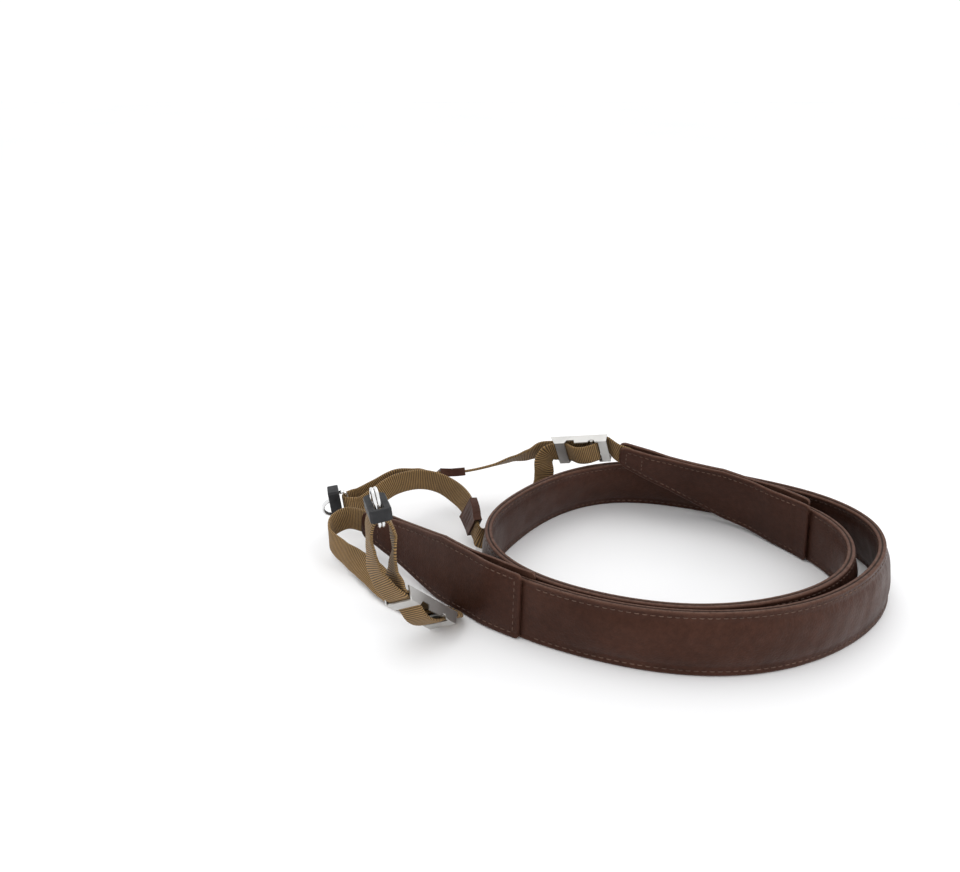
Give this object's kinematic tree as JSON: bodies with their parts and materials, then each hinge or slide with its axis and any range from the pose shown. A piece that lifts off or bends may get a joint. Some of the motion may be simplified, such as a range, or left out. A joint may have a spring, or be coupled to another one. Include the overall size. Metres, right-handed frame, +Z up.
{
  "type": "camera neck strap",
  "caption": "Padded brown leather neck strap with tapered leather tabs, tan ribbed webbing ends, steel slider buckles, triangular lug rings and black ring guards, coiled on its long edge.",
  "frame": {"origin": "middle of the footprint, on the surface the strap stands on", "axes": "+Z up, the width of the standing leather; +X along the longest side of the coil; +Y away from the front of the coil"},
  "size_m": [0.227, 0.1261, 0.0594],
  "materials": {
    "dark_leather": "dark brown grained leather with a soft sheen, light sewing thread and lighter raw edges",
    "tab_leather": "dark brown leather, smoother than the padded strap",
    "webbing": "tan woven webbing with fine ribs across it",
    "satin_steel": "satin sheet steel with bright worn rims",
    "bright_steel": "polished round wire",
    "black_guard": "matte black"
  },
  "bodies": {
    "root": {"strap_pad": "dark_leather", "tab_a_front": "tab_leather", "tab_a_back": "tab_leather", "tab_b_front": "tab_leather", "tab_b_back": "tab_leather", "webbing_a": "webbing", "webbing_b": "webbing", "buckle_a": "satin_steel", "buckle_b": "satin_steel", "lug_ring_a": "bright_steel", "lug_ring_b": "bright_steel", "ring_guard_a": "black_guard", "ring_guard_b": "black_guard", "keeper_b1": "tab_leather", "keeper_b2": "tab_leather"}
  },
  "joints": []
}
